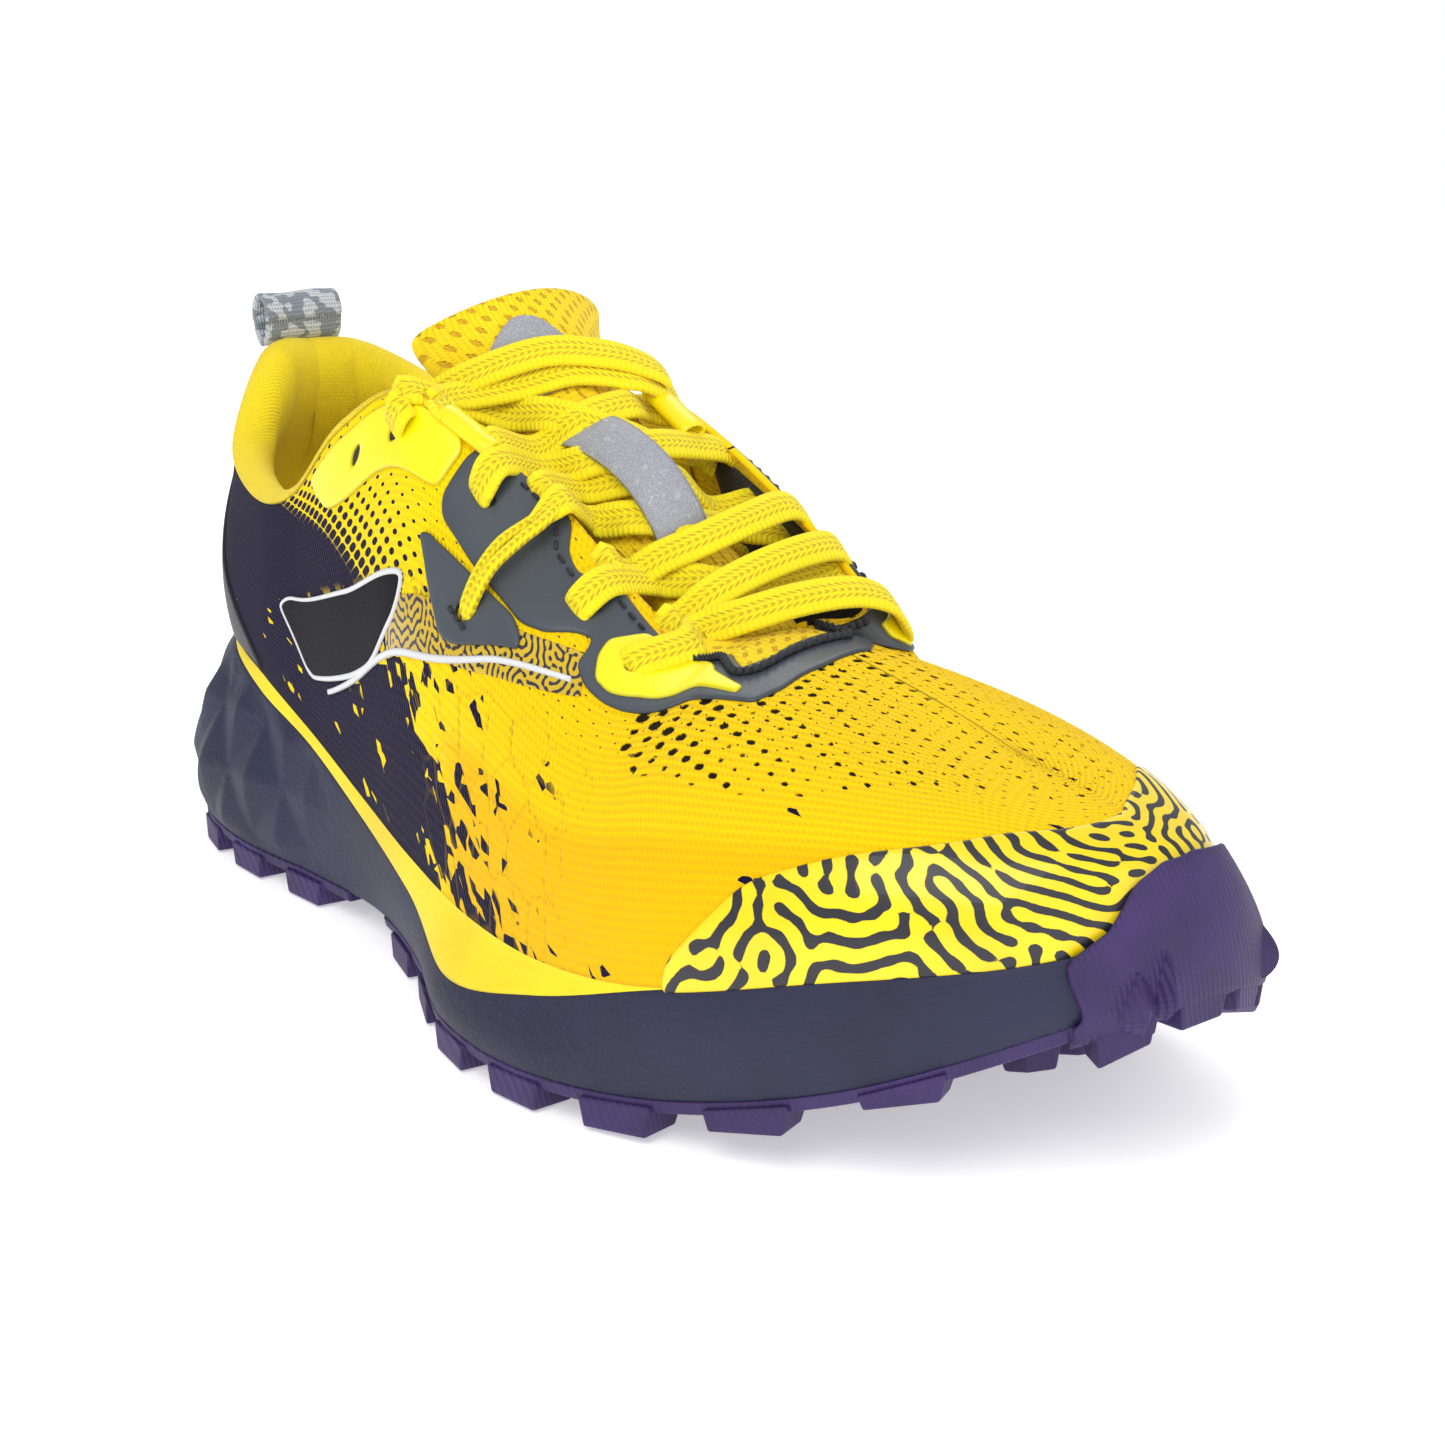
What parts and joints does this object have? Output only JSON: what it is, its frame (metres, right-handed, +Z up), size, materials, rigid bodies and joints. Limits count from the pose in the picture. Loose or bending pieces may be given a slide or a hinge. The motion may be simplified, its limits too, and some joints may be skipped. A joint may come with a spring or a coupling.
{
  "type": "running shoe",
  "caption": "Low trail running shoe with a lugged outsole, two-layer midsole, knitted upper with welded films, padded collar and tongue, flat laces and a heel pull loop.",
  "frame": {"origin": "middle of the bounding box, on the ground plane that the lugs stand on", "axes": "+X towards the toe, +Y towards the inner side of the foot, +Z up; a right shoe"},
  "size_m": [0.3068, 0.1164, 0.1338],
  "materials": {
    "purple_rubber": "satin moulded rubber",
    "navy_foam": "matte moulded foam",
    "yellow_foam": "smooth moulded foam",
    "clip_plastic": "satin moulded plastic",
    "board_fabric": "non-woven board",
    "insole_foam": "textile over foam",
    "knit": "engineered knit, indigo at the heel",
    "counter_plastic": "thermoplastic sheet",
    "padding_foam": "open-cell foam",
    "lining_fabric": "brushed lining",
    "toe_film": "welded film with a dark maze print",
    "slate_film": "satin welded film",
    "black_lining": "woven lining",
    "yellow_film": "smooth moulded film",
    "saddle_film": "clear film with a dark print",
    "heel_film": "reflective film",
    "tongue_mesh": "padded mesh",
    "reflective_film": "retroreflective film",
    "webbing": "woven webbing",
    "lace_cord": "flat braid",
    "aglet_plastic": "plastic film tube"
  },
  "bodies": {
    "shoe": {"heel_outsole": "purple_rubber", "forefoot_outsole": "purple_rubber", "midsole": "navy_foam", "midsole_top_layer": "yellow_foam", "heel_clip": "clip_plastic", "strobel_board": "board_fabric", "upper_mesh": "knit", "heel_counter": "counter_plastic", "collar_foam": "padding_foam", "collar_lining": "lining_fabric", "toe_puff": "counter_plastic", "toe_overlay": "toe_film", "eyestay_overlay": "slate_film", "eyestay_lining": "black_lining", "outer_wing": "slate_film", "inner_wing": "slate_film", "outer_collar_patch": "yellow_film", "inner_collar_patch": "yellow_film", "outer_toe_patch": "yellow_film", "inner_toe_patch": "yellow_film", "outer_saddle_film": "saddle_film", "inner_saddle_film": "saddle_film", "heel_film": "heel_film"},
    "insole": {"insole": "insole_foam"},
    "tongue": {"tongue_face": "tongue_mesh", "tongue_foam": "padding_foam", "tongue_lining": "lining_fabric", "tongue_badge": "reflective_film", "lace_keeper": "reflective_film", "lace": "lace_cord"},
    "pull_loop": {"heel_pull_loop": "webbing"},
    "outer_lace_end": {"outer_lace_end": "lace_cord", "outer_aglet": "aglet_plastic"},
    "inner_lace_end": {"inner_lace_end": "lace_cord", "inner_aglet": "aglet_plastic"}
  },
  "joints": [
    {"name": "tongue_lift", "type": "hinge", "parent": "shoe", "child": "tongue", "pos_m": [0.0445, 0.00615, 0.074], "axis": [0, 1, 0], "range_deg": [0, 18]},
    {"name": "insole_lift", "type": "hinge", "parent": "shoe", "child": "insole", "pos_m": [0.1285, 0.01015, 0.034], "axis": [0, 1, 0], "range_deg": [0, 3]},
    {"name": "pull_loop_swing", "type": "hinge", "parent": "shoe", "child": "pull_loop", "pos_m": [-0.1385, 0.00515, 0.11135], "axis": [0, 1, 0], "range_deg": [-35, 20]},
    {"name": "outer_lace_end_swing", "type": "hinge", "parent": "tongue", "child": "outer_lace_end", "pos_m": [-0.0185, -0.02485, 0.1185], "axis": [0, -1, 0], "range_deg": [0, 40]},
    {"name": "inner_lace_end_swing", "type": "hinge", "parent": "tongue", "child": "inner_lace_end", "pos_m": [-0.0235, 0.02315, 0.1275], "axis": [0, -1, 0], "range_deg": [0, 40]}
  ]
}
